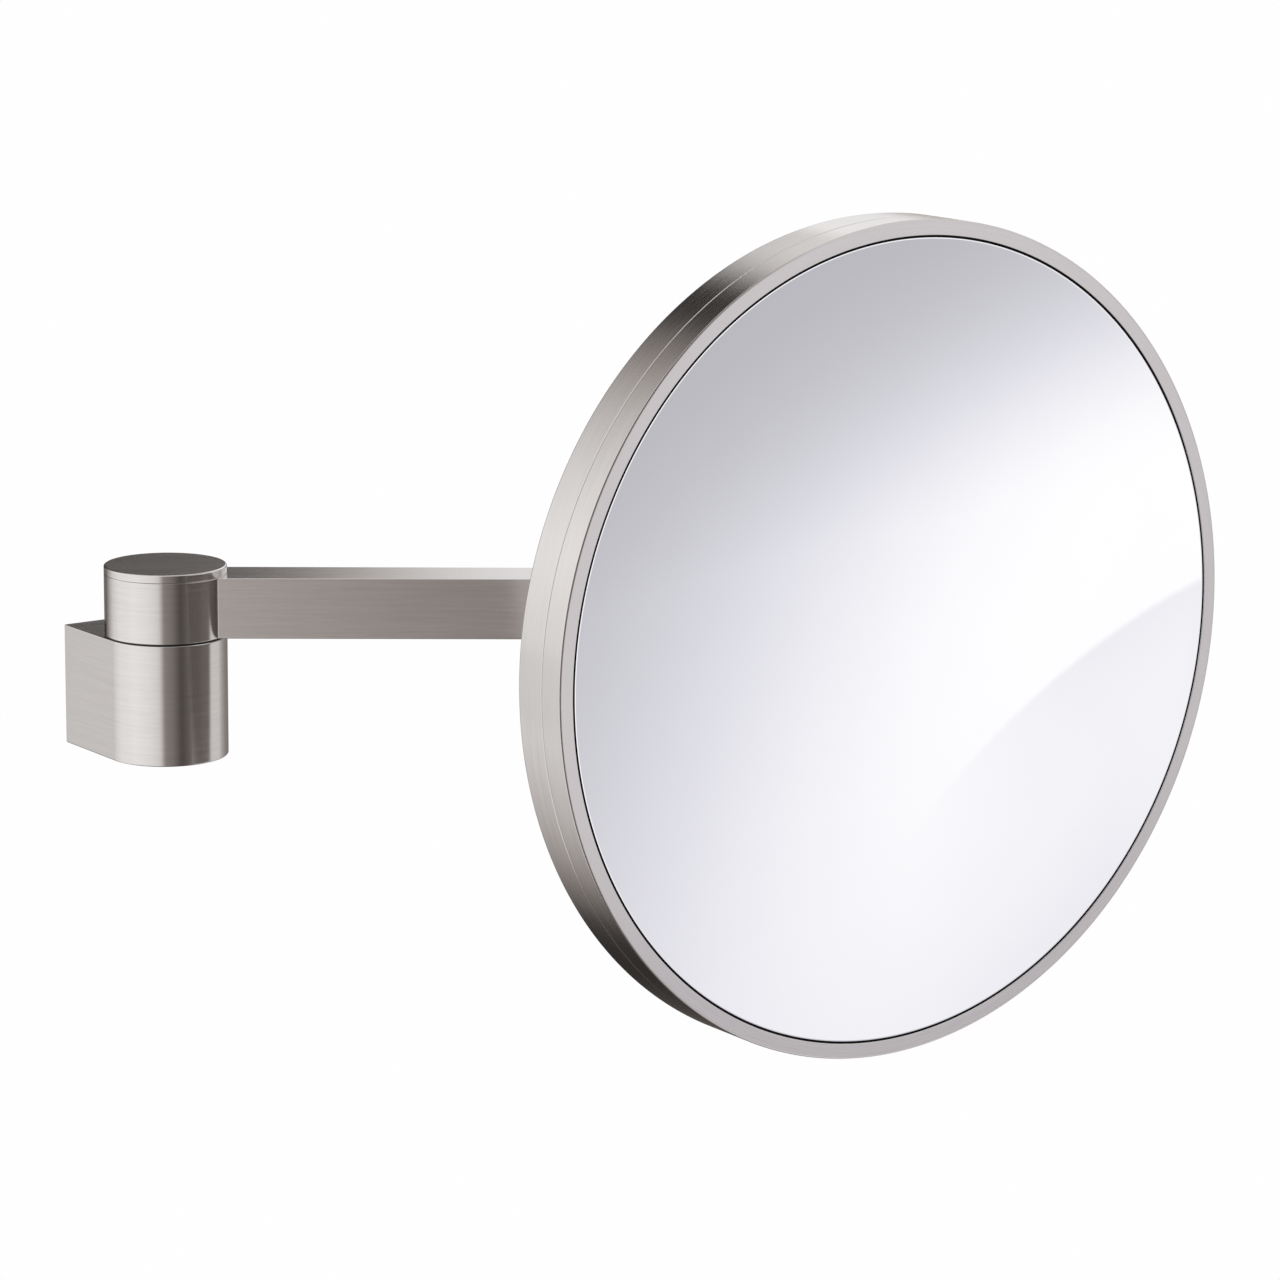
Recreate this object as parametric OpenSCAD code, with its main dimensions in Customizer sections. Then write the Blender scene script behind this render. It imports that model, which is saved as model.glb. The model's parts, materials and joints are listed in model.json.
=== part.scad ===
// Wall-mounted swing-arm shaving mirror, brushed nickel, 3x magnifying.
// Millimetres. +Z is up, the wall is the plane y = 0 and the room is at -Y.
// The origin is the middle of the wall plate's back face.

/* [Wall bracket] */
// Width of the D-shaped bracket and diameter of the hubs
hub_d = 30; // [28:1:32]
// Height of the bracket
bracket_h = 30; // [28:1:36]
// Distance from the wall to the arm's pivot axis
pivot_y = 24; // [23:0.5:30]
// Wall thickness of the bracket casting
bracket_wall = 2.2; // [2:0.1:2.4]
// Distance between the two wall screw holes
screw_spacing = 15; // [14:0.5:16]
// Diameter of the wall screw holes
screw_hole_d = 4.6; // [4:0.1:5]

/* [Arm] */
// Distance between the two swivel axes
arm_len = 141; // [125:1:180]
// Side of the square arm
arm_w = 15; // [14:0.5:15]
// Wall thickness of the arm tube
arm_t = 1.5; // [1.2:0.1:1.8]
// Angle between the arm and the wall as drawn
arm_angle = 34.6; // [20:0.1:80]
// Height of a hub without its cap
hub_h = 15.1; // [15.1:0.1:16]
// Thickness of a hub cap
cap_t = 2; // [1.8:0.1:2.4]
// Gap under the wall hub that the swivel washer fills
hub_gap = 0.4; // [0.3:0.05:0.6]

/* [Neck and tilt joint] */
// Distance from the outer swivel axis to the tilt axis
neck_len = 30; // [29:0.5:36]
// Distance from the tilt axis to the back of the mirror head
back_dist = 17.2; // [16.5:0.1:20]
// Largest tilt either way
tilt_max = 25; // [15:1:25]

/* [Mirror head] */
// Diameter of the head
head_d = 200; // [196:1:220]
// Thickness of the head at its rim
head_t = 16; // [16:0.2:18]
// Depth of the front ring, up to the seam
ring_h = 7; // [6:0.2:7.6]
// Width of the flat rim around the glass
rim_w = 3.7; // [3.4:0.1:4.2]
// Thickness of the rim's lip
lip_t = 1.2; // [1:0.1:1.4]
// Radius of the glass's hollow front face
glass_r = 700; // [650:10:1200]
// Thickness of the glass
glass_t = 3; // [2.8:0.1:3]

/* [Hidden] */
$fn = 96;
e = 0.01;

nickel = [0.66, 0.63, 0.60];
steel = [0.72, 0.72, 0.73];
bronze = [0.66, 0.47, 0.25];
dark = [0.09, 0.09, 0.10];
silvered = [0.88, 0.90, 0.92];

hub_r = hub_d / 2;
zb = bracket_h / 2;              // top of the bracket
z0 = zb + hub_gap;               // underside of the wall hub
z1 = z0 + hub_h;                 // seam under the caps
z2 = z1 + cap_t;                 // top of the caps
arm_z = z0 + arm_w / 2;          // middle height of the arm
head_z = z0 + (hub_h + cap_t) / 2; // middle height of the mirror
end_x = arm_len * cos(arm_angle);
end_y = -pivot_y - arm_len * sin(arm_angle);
pocket = hub_d - 2 * bracket_wall;
plate_w = pocket - 0.2;
floor_z = z0 + 8.5;              // floor of the wall hub's upper recess
spin_r = 5;                      // wall spindle
bolt_r = 4;                      // shoulder of the fork bolt
slot_h = 6;                      // slot of the end fork
tongue_t = 5;                    // tongue of the neck
swing_max = 105.6;               // neck's stop, from straight out
kn_w = 6;                        // width of the neck's tilt knuckle
ear_in = 3.5;                    // inner face of the tilt ears
kn_stop = 7.9;                   // nose radius of the knuckle
ear_floor = 8.0;                 // floor between the ears, from the tilt axis
head_r = head_d / 2;
in_r = head_r - rim_w;           // inner radius of the rim
seam_z = head_t - ring_h;
land_z = head_t - 0.15;          // glass's front edge, just behind the rim
glass_rim = in_r - 0.55;
arris = 0.25;                    // ground flat at the glass's edge
sph_z = land_z + sqrt(glass_r * glass_r - (glass_rim - arris) * (glass_rim - arris));
seat_z = 10.2;                   // carrier's seat under the glass
function back_z(r) = sph_z - sqrt((glass_r + glass_t) * (glass_r + glass_t) - r * r);

// Places
module at_post() { translate([0, -pivot_y, 0]) children(); }
module on_arm() { translate([0, -pivot_y, 0]) rotate([0, 0, -arm_angle]) children(); }
module at_fork() { on_arm() translate([arm_len, 0, 0]) children(); }
// neck frame: +X is straight out to the mirror, Z from the mirror's middle
module on_neck() { translate([end_x, end_y, head_z]) rotate([0, 0, -90]) children(); }
// tilt frame: origin on the tilt axis, +X forward, axis along Y
module at_tilt() { on_neck() translate([neck_len, 0, 0]) children(); }
// head frame: +Z forward, origin in the middle of the head's back
module on_head() { at_tilt() translate([back_dist, 0, 0]) rotate([0, 90, 0]) children(); }

// Shapes used again
module tube_ring(r_out, r_in, h) {
  difference() {
    cylinder(r = r_out, h = h);
    translate([0, 0, -1]) cylinder(r = r_in, h = h + 2);
  }
}
module ring_profile(points) { rotate_extrude($fn = 180) polygon(points); }
module drum(r, h, c_top, c_bottom) {
  rotate_extrude() polygon([[0, 0], [r - c_bottom, 0], [r, c_bottom], [r, h - c_top], [r - c_top, h], [0, h]]);
}
// a countersunk screw, head down at z = 0 and shank up along +Z
module csk_screw(r, head_r, len, key) {
  difference() {
    rotate_extrude($fn = 48) polygon([[0, 0], [head_r, 0], [head_r, 0.3], [r, head_r - r + 0.3], [r, len], [0, len]]);
    translate([0, 0, -e]) cylinder(r = key, h = min(1.4, len / 2), $fn = 6);
  }
}
module csk_hole(r, head_r, len) {
  rotate_extrude($fn = 48) polygon([[0, -1], [head_r, -1], [head_r, 0.3], [r, head_r - r + 0.3], [r, len], [0, len]]);
}
module grub(r, len, key) {
  difference() {
    cylinder(r = r, h = len, $fn = 48);
    translate([0, 0, -e]) cylinder(r = key, h = len * 0.45, $fn = 6);
  }
}
module hex_nut(af, r, h) {
  difference() {
    rotate([0, 0, 30]) cylinder(r = af / 2 / cos(30), h = h, $fn = 6);
    translate([0, 0, -1]) cylinder(r = r, h = h + 2);
  }
}
// a conical spring washer
module cone_spring(r_out, r_in, t, rise) {
  rotate_extrude() polygon([[r_in, rise], [r_out, 0], [r_out, t], [r_in, rise + t]]);
}
// a cap disc with a centring spigot under it
module cap_disc(r, t, spigot_r, spigot_h, hollow_r, hollow_h) {
  difference() {
    union() {
      drum(r, t, 0.4, 0.15);
      translate([0, 0, -spigot_h]) cylinder(r = spigot_r, h = spigot_h + 0.2);
    }
    translate([0, 0, -spigot_h - 1]) cylinder(r = hollow_r, h = spigot_h + 1 + hollow_h);
  }
}

// ---------- wall bracket ----------
module wall_plate() {
  color(steel) difference() {
    union() {
      translate([-plate_w / 2, -3, -plate_w / 2]) cube([plate_w, 3, plate_w]);
      // hook at the top and lug for the grub screw at the bottom
      translate([-3.4, -9, plate_w / 2 - 3.5]) cube([6.8, 7, 3.5]);
      translate([-4, -12, -plate_w / 2]) cube([8, 10, 5]);
    }
    for (s = [-1, 1]) translate([s * screw_spacing / 2, 1, 0]) rotate([90, 0, 0]) cylinder(d = screw_hole_d, h = 6);
    translate([0, -8, -plate_w / 2 - 1]) cylinder(r = 1.6, h = 2.6);
  }
}

module bracket_housing() {
  color(nickel) difference() {
    union() {
      translate([-hub_r, -pivot_y, -zb]) cube([hub_d, pivot_y, bracket_h]);
      at_post() translate([0, 0, -zb]) drum(hub_r, bracket_h, 0.2, 0.2);
    }
    // pocket over the wall plate
    translate([-pocket / 2, -14, -pocket / 2]) cube([pocket, 15, pocket]);
    // bore of the spindle and the hole of its screw
    at_post() translate([0, 0, -9]) cylinder(r = spin_r + 0.01, h = bracket_h);
    at_post() translate([0, 0, -zb]) csk_hole(2.6, 4.6, 10);
    // tapped hole of the grub screw
    translate([0, -8, -zb - 1]) cylinder(r = 2.02, h = 6);
  }
}

module bracket_grub_screw() {
  // dog point that seats in the plate's dimple
  color(steel) union() {
    translate([0, -8, -zb + 0.3]) grub(2, zb - 0.3 - plate_w / 2 - 0.06, 1);
    translate([0, -8, -plate_w / 2 - 0.2]) cylinder(r = 1.5, h = 1.2, $fn = 48);
  }
}

module wall_spindle() {
  color(steel) at_post() difference() {
    translate([0, 0, -8.95]) rotate_extrude() polygon([
      [0, 0], [spin_r - 0.4, 0], [spin_r, 0.4], [spin_r, floor_z + 8.95 - 0.1], [spin_r - 1, floor_z + 8.95 - 0.1],
      [spin_r - 1, z1 + 8.95 - 0.6], [spin_r - 1.5, z1 + 8.95 - 0.1], [0, z1 + 8.95 - 0.1]]);
    translate([0, 0, -10]) cylinder(r = 2.5, h = 9.5);
  }
}

module spindle_screw() {
  color(steel) at_post() translate([0, 0, -zb + 0.05]) csk_screw(2.45, 4.5, 13.6, 1.5);
}

module swivel_washer() {
  color(dark) at_post() translate([0, 0, zb + 0.02]) tube_ring(hub_r - 0.5, spin_r + 0.3, hub_gap - 0.04);
}

module thrust_washer() {
  color(steel) at_post() translate([0, 0, floor_z + 0.02]) tube_ring(9, spin_r - 0.9, 0.96);
}

module disc_spring() {
  color(steel) at_post() translate([0, 0, floor_z + 1]) cone_spring(8, spin_r - 0.7, 0.6, 0.5);
}

module lock_nut() {
  color(steel) at_post() translate([0, 0, floor_z + 2.15]) hex_nut(13, spin_r - 0.98, 4);
}

// ---------- arm ----------
module wall_hub() {
  color(nickel) difference() {
    union() {
      on_arm() translate([0, 0, z0]) drum(hub_r, hub_h, 0.15, 0.2);
      // square tenon inside the tube
      on_arm() translate([11, -(arm_w / 2 - arm_t - 0.02), arm_z - (arm_w / 2 - arm_t - 0.02)])
        cube([18, arm_w - 2 * arm_t - 0.04, arm_w - 2 * arm_t - 0.04]);
    }
    at_post() translate([0, 0, z0 - 1]) cylinder(r = 7, h = hub_h + 2);
    at_post() translate([0, 0, floor_z]) cylinder(r = 11, h = hub_h);
    on_arm() translate([23, 0, z0 - 1]) cylinder(r = 2.02, h = 7);
  }
}

module hub_bush() {
  color(bronze) at_post() translate([0, 0, z0 + 0.05]) tube_ring(6.99, spin_r + 0.05, floor_z - z0 - 0.1);
}

module hub_cap() {
  color(nickel) at_post() translate([0, 0, z1]) cap_disc(hub_r, cap_t, 10.98, 1.6, 9.6, 0.6);
}

module arm_tube() {
  x0 = sqrt(hub_r * hub_r - arm_w * arm_w / 4) - 0.2;
  color(nickel) on_arm() difference() {
    translate([x0, -arm_w / 2, arm_z - arm_w / 2]) cube([arm_len - 2 * x0, arm_w, arm_w]);
    translate([0, -arm_w / 2 + arm_t, arm_z - arm_w / 2 + arm_t]) cube([arm_len, arm_w - 2 * arm_t, arm_w - 2 * arm_t]);
    // the ends are hollowed to sit on the round hubs
    for (x = [0, arm_len]) translate([x, 0, z0 - 1]) cylinder(r = hub_r + 0.02, h = hub_h + 2);
    for (x = [23, arm_len - 23]) translate([x, 0, z0 - 1]) cylinder(r = 2.05, h = 4);
  }
}

module arm_set_screws() {
  color(steel) on_arm() for (x = [23, arm_len - 23]) translate([x, 0, z0 + 0.2]) grub(2, 5, 1);
}

module end_fork() {
  color(nickel) difference() {
    union() {
      at_fork() translate([0, 0, z0]) drum(hub_r, hub_h, 0.15, 0.15);
      at_fork() translate([-29, -(arm_w / 2 - arm_t - 0.02), arm_z - (arm_w / 2 - arm_t - 0.02)])
        cube([18, arm_w - 2 * arm_t - 0.04, arm_w - 2 * arm_t - 0.04]);
    }
    // slot for the tongue, closed by a wedge that is also the stop
    at_fork() translate([0, 0, head_z - slot_h / 2]) linear_extrude(slot_h) polygon([
      [-7.6 / sin(swing_max), 0],
      [-7.6 / sin(swing_max) - 14 * cos(swing_max - 60), 14 * sin(swing_max - 60) + 14],
      [-10, 30], [30, 30], [30, -30], [-10, -30],
      [-7.6 / sin(swing_max) - 14 * cos(swing_max - 60), -14 * sin(swing_max - 60) - 14]]);
    at_fork() translate([0, 0, z0 - 1]) cylinder(r = bolt_r + 0.02, h = hub_h + 2);
    at_fork() translate([0, 0, z1 - 1.8]) cylinder(r = 6.5, h = 3);
    at_fork() translate([0, 0, z0 - 1]) cylinder(r = 8, h = 4.6);
    at_fork() translate([-23, 0, z0 - 1]) cylinder(r = 2.02, h = 7);
  }
}

module fork_cap_top() {
  color(nickel) at_fork() translate([0, 0, z1]) cap_disc(hub_r, cap_t, 6.48, 0.6, 5.6, 1);
}

module fork_cap_bottom() {
  color(nickel) at_fork() translate([0, 0, z0]) mirror([0, 0, 1]) cap_disc(hub_r, cap_t, 7.98, 0.8, 7, 1);
}

module fork_bolt() {
  color(steel) at_fork() difference() {
    rotate_extrude() polygon([
      [0, z0 - 0.8], [3, z0 - 0.8], [3, z0 + 3.65], [bolt_r, z0 + 3.65], [bolt_r, z1 - 1.78],
      [5.4, z1 - 1.78], [5.4, z1 + 0.5], [5, z1 + 0.9], [0, z1 + 0.9]]);
    translate([0, 0, z1 - 0.6]) cylinder(r = 2.3, h = 3, $fn = 6);
  }
}

module fork_spring() {
  color(steel) at_fork() translate([0, 0, z0 + 3.56]) mirror([0, 0, 1]) cone_spring(6.6, 3.2, 0.5, 0.35);
}

module fork_nut() {
  color(steel) at_fork() translate([0, 0, z0 + 0.05]) hex_nut(10, 3.02, 2.6);
}

// ---------- neck ----------
module neck() {
  t = arm_w / 2;
  color(nickel) on_neck() difference() {
    union() {
      // tongue in the fork's slot
      translate([0, 0, -tongue_t / 2]) cylinder(r = 7.5, h = tongue_t);
      translate([0, -7.5, -tongue_t / 2]) cube([17, 15, tongue_t]);
      // square block
      translate([hub_r + 1, -t, -t]) cube([neck_len - 7.9 - hub_r - 1, arm_w, arm_w]);
      // knuckle with a nose that stops the tilt
      translate([neck_len, kn_w / 2, 0]) rotate([90, 0, 0]) linear_extrude(kn_w) polygon(concat(
        [[-8.5, -t], [-8.5, t], [(kn_stop - t * sin(tilt_max)) / cos(tilt_max), t]],
        [for (a = [tilt_max : -tilt_max / 5 : -tilt_max]) [kn_stop * cos(a), kn_stop * sin(a)]],
        [[(kn_stop - t * sin(tilt_max)) / cos(tilt_max), -t]]));
    }
    translate([0, 0, -10]) cylinder(r = 5.52, h = 20);
    translate([neck_len, 10, 0]) rotate([90, 0, 0]) cylinder(r = 3.05, h = 20);
  }
}

module neck_bush() {
  color(bronze) on_neck() translate([0, 0, -tongue_t / 2 + 0.02]) tube_ring(5.51, bolt_r + 0.05, tongue_t - 0.04);
}

module fork_washers() {
  color(dark) on_neck() for (s = [0, 1]) mirror([0, 0, s])
    translate([0, 0, tongue_t / 2 + 0.04]) tube_ring(7.3, bolt_r + 0.25, slot_h / 2 - tongue_t / 2 - 0.08);
}

// ---------- mirror head ----------
module head_bracket() {
  t = arm_w / 2;
  color(nickel) difference() {
    union() {
      // ears, square block and round flange
      at_tilt() translate([0, t, 0]) rotate([90, 0, 0]) cylinder(r = t, h = arm_w);
      at_tilt() translate([0, -t, -t]) cube([back_dist - 2, arm_w, arm_w]);
      on_head() translate([0, 0, -3]) drum(22, 3, 0, 0.5);
    }
    // slot between the ears
    at_tilt() translate([-t - 1, -ear_in, -t - 3]) cube([t + 1 + ear_floor, 2 * ear_in, arm_w + 6]);
    at_tilt() translate([0, 20, 0]) rotate([90, 0, 0]) cylinder(r = 3.02, h = 40);
    for (s = [0, 1]) at_tilt() mirror([0, s, 0]) translate([0, t + 1, 0]) rotate([90, 0, 0]) cylinder(r = 4.82, h = 2.3);
    for (a = [45 : 90 : 315]) on_head() rotate([0, 0, a]) translate([17, 0, -3]) csk_hole(2.05, 3.75, 5);
  }
}

module tilt_sleeve() {
  color(steel) at_tilt() difference() {
    union() {
      translate([0, 7.4, 0]) rotate([90, 0, 0]) cylinder(r = 4.8, h = 1.2);
      translate([0, 7.3, 0]) rotate([90, 0, 0]) cylinder(r = 3, h = 13.2);
    }
    translate([0, 4.6, 0]) rotate([90, 0, 0]) cylinder(r = 2, h = 20);
    translate([0, 8, 0]) rotate([90, 0, 0]) cylinder(r = 1.6, h = 2, $fn = 6);
  }
}

module tilt_screw() {
  color(steel) at_tilt() difference() {
    union() {
      translate([0, -6.2, 0]) rotate([90, 0, 0]) cylinder(r = 4.8, h = 1.2);
      translate([0, 2.5, 0]) rotate([90, 0, 0]) cylinder(r = 1.96, h = 9.2);
    }
    translate([0, -6, 0]) rotate([90, 0, 0]) cylinder(r = 1.25, h = 3, $fn = 6);
  }
}

module tilt_washers() {
  color(dark) at_tilt() for (s = [0, 1]) mirror([0, s, 0])
    translate([0, ear_in - 0.03, 0]) rotate([90, 0, 0]) tube_ring(7, 3.15, ear_in - kn_w / 2 - 0.08);
}

module bracket_screws() {
  color(steel) on_head() for (a = [45 : 90 : 315]) rotate([0, 0, a]) translate([17, 0, -2.95]) csk_screw(1.96, 3.6, 7, 1.2);
}

module backing_plate() {
  color(steel) on_head() difference() {
    translate([0, 0, 1.25]) drum(60, 3, 0.3, 0.3);
    for (a = [45 : 90 : 315]) rotate([0, 0, a]) translate([17, 0, 0]) cylinder(r = 2, h = 10);
    // lightening holes
    for (a = [0 : 60 : 300]) rotate([0, 0, a]) translate([42, 0, 0]) cylinder(r = 10, h = 10);
  }
}

module rear_shell() {
  color(nickel) on_head() difference() {
    ring_profile([
      [0, 0], [head_r - 0.5, 0], [head_r, 0.5], [head_r, seam_z - 0.12], [head_r - 0.12, seam_z],
      [head_r - 1.2, seam_z], [head_r - 1.2, 1.2], [0, 1.2]]);
    for (a = [45 : 90 : 315]) rotate([0, 0, a]) translate([17, 0, -1]) cylinder(r = 2.05, h = 10);
  }
}

module glass_carrier() {
  r = head_r - 1.25;
  // moulded channel under the glass, with the wall that the ring snaps over
  color(dark) on_head() ring_profile([
    [r - 8, 1.25], [r - 6.4, 1.25], [r - 6.4, seat_z - 1.6], [r - 1.6, seat_z - 1.6], [r - 1.6, 1.25], [r, 1.25],
    [r, head_t - lip_t - 0.05], [in_r + 0.1, head_t - lip_t - 0.05], [in_r + 0.1, seat_z], [r - 8, seat_z]]);
}

module foam_ring() {
  // its top follows the back of the glass
  ra = head_r - 8.6;
  rb = glass_rim - 0.4;
  color(dark) on_head() ring_profile([
    [ra, seat_z + 0.02], [rb, seat_z + 0.02], [rb, back_z(rb) - 0.04], [ra, back_z(ra) - 0.04]]);
}

module mirror_glass() {
  color(silvered) on_head() difference() {
    intersection() {
      cylinder(r = glass_rim, h = land_z, $fn = 180);
      translate([0, 0, sph_z]) sphere(r = glass_r + glass_t, $fn = 720);
    }
    translate([0, 0, sph_z]) sphere(r = glass_r, $fn = 720);
  }
}

module glass_gasket() {
  // fills the gap round the glass and stops a little below its face
  color(dark) on_head() ring_profile([
    [glass_rim + 0.03, land_z - 3], [in_r + 0.07, land_z - 3], [in_r + 0.07, head_t - lip_t - 0.08],
    [in_r - 0.03, head_t - lip_t - 0.08], [in_r - 0.03, land_z - 0.04], [glass_rim + 0.03, land_z - 0.04]]);
}

module front_ring() {
  // outer wall, flat lip, and a small bevel on each front edge
  color(nickel) on_head() ring_profile([
    [head_r - 1.2, seam_z], [head_r - 0.12, seam_z], [head_r, seam_z + 0.12], [head_r, head_t - 0.3],
    [head_r - 0.3, head_t], [in_r + 0.15, head_t], [in_r, head_t - 0.15], [in_r, head_t - lip_t],
    [head_r - 1.2, head_t - lip_t]]);
}

wall_plate();
bracket_housing();
bracket_grub_screw();
wall_spindle();
spindle_screw();
swivel_washer();
thrust_washer();
disc_spring();
lock_nut();
wall_hub();
hub_bush();
hub_cap();
arm_tube();
arm_set_screws();
end_fork();
fork_cap_top();
fork_cap_bottom();
fork_bolt();
fork_spring();
fork_nut();
neck();
neck_bush();
fork_washers();
head_bracket();
tilt_sleeve();
tilt_screw();
tilt_washers();
bracket_screws();
backing_plate();
rear_shell();
glass_carrier();
foam_ring();
mirror_glass();
glass_gasket();
front_ring();
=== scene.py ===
import json
import math

import bmesh
import bpy
import numpy as np
from mathutils import Matrix, Vector


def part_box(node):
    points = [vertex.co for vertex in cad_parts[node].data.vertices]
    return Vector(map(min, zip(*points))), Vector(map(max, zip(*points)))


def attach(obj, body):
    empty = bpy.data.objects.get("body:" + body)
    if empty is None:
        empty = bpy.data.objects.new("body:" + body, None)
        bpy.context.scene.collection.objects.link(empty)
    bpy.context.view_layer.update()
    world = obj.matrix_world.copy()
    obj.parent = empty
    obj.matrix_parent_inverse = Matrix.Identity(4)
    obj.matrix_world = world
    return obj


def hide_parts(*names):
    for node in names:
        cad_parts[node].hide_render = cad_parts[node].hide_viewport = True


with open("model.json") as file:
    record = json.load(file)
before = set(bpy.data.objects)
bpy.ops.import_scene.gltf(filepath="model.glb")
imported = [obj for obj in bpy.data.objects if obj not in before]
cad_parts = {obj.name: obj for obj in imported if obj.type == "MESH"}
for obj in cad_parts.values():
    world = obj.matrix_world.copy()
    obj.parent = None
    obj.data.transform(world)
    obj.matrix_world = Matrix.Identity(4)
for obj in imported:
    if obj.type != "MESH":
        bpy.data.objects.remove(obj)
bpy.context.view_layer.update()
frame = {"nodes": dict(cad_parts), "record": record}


scene = bpy.context.scene
MM = 0.001

# ---------------------------------------------------------------- places
# Everything is modelled in millimetres in the frame of its own body and
# then put in place with these matrices, which come from the joints.
joints = {j["name"]: j for j in frame["record"]["behaviour"]["joints"]}


def joint_point(name):
    return Vector(joints[name]["pos_m"]) / MM


P0, P1, P2 = (joint_point(n) for n in ("arm_swivel", "head_swivel", "head_tilt"))
ARM_DIR = Vector((P1.x - P0.x, P1.y - P0.y, 0))
ARM_LEN = ARM_DIR.length
ARM_A = math.atan2(ARM_DIR.y, ARM_DIR.x)
HEAD_Z = P2.z


def shift(x, y, z):
    return Matrix.Translation((x, y, z))


POST = shift(P0.x, P0.y, 0)
ON_ARM = POST @ Matrix.Rotation(ARM_A, 4, "Z")
FORK = ON_ARM @ shift(ARM_LEN, 0, 0)
NECK = shift(P1.x, P1.y, HEAD_Z) @ Matrix.Rotation(-math.pi / 2, 4, "Z")
NECK_LEN = P1.y - P2.y
TILT = NECK @ shift(NECK_LEN, 0, 0)
lo_shell, hi_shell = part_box("rear_shell")
lo_ring, hi_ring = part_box("front_ring")
BACK = P2.y - hi_shell.y / MM
HEAD = TILT @ shift(BACK, 0, 0) @ Matrix.Rotation(math.pi / 2, 4, "Y")
HEAD_R = (hi_ring.x - lo_ring.x) / 2 / MM
HEAD_T = (hi_shell.y - lo_ring.y) / MM
lo_hub, hi_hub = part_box("wall_hub")
lo_cap, hi_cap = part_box("hub_cap")
lo_br, hi_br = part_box("bracket_housing")
HUB_R = (hi_br.x - lo_br.x) / 2 / MM
ZB = hi_br.z / MM
Z0, Z1, Z2 = lo_hub.z / MM, hi_hub.z / MM, hi_cap.z / MM
ARM_W = 15.0
ARM_T = 1.5
ARM_Z = Z0 + ARM_W / 2
IN_R = HEAD_R - 3.7
SEAM = HEAD_T - 7.0
LAND = HEAD_T - 0.15
GLASS_RIM = IN_R - 0.55
GLASS_R = 700.0
ARRIS = 0.25


# ---------------------------------------------------------------- meshes
def rounded(points, steps=4):
    """A closed outline of (x, y, corner radius) with its corners rounded."""
    out = []
    n = len(points)
    for i, point in enumerate(points):
        x, y, rad = point if len(point) == 3 else (point[0], point[1], 0)
        p = Vector((x, y))
        if rad <= 0:
            out.append((p.x, p.y))
            continue
        a = Vector(points[i - 1][:2]) - p
        b = Vector(points[(i + 1) % n][:2]) - p
        la, lb = a.length, b.length
        a, b = a / la, b / lb
        half = math.acos(max(-1, min(1, a.dot(b)))) / 2
        d = min(rad / math.tan(half), 0.48 * la, 0.48 * lb)
        r = d * math.tan(half)
        c = p + (a + b).normalized() * (r / math.sin(half))
        u = (p + a * d - c) / r
        v = (p + b * d - c) / r
        w = math.acos(max(-1, min(1, u.dot(v))))
        for k in range(steps + 1):
            t = k / steps
            q = c + (u * math.sin((1 - t) * w) + v * math.sin(t * w)) * (r / math.sin(w))
            out.append((q.x, q.y))
    return out


def set_brush(mesh, brush, uv):
    att = mesh.attributes.get("brush") or mesh.attributes.new("brush", "FLOAT_VECTOR", "CORNER")
    att.data.foreach_set("vector", np.asarray(brush, np.float32).ravel())
    layer = mesh.uv_layers.get("grain") or mesh.uv_layers.new(name="grain")
    layer.data.foreach_set("uv", np.asarray(uv, np.float32).ravel())


def tidy(obj, place, angle=35):
    """Smooth faces with sharp edges kept, weighted normals, and the mesh put in its place in metres."""
    mesh = obj.data
    mesh.polygons.foreach_set("use_smooth", np.ones(len(mesh.polygons), bool))
    mesh.set_sharp_from_angle(angle=math.radians(angle))
    mod = obj.modifiers.new("normals", "WEIGHTED_NORMAL")
    mod.keep_sharp = True
    mod.weight = 100
    apply_modifiers(obj)
    obj.data.transform(Matrix.Scale(MM, 4) @ place)
    return obj


def apply_modifiers(obj):
    graph = bpy.context.evaluated_depsgraph_get()
    mesh = bpy.data.meshes.new_from_object(obj.evaluated_get(graph), preserve_all_data_layers=True, depsgraph=graph)
    obj.modifiers.clear()
    old = obj.data
    obj.data = mesh
    bpy.data.meshes.remove(old)
    obj.data.name = obj.name


def new_object(name, mesh):
    obj = bpy.data.objects.new(name, mesh)
    scene.collection.objects.link(obj)
    return obj


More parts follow.
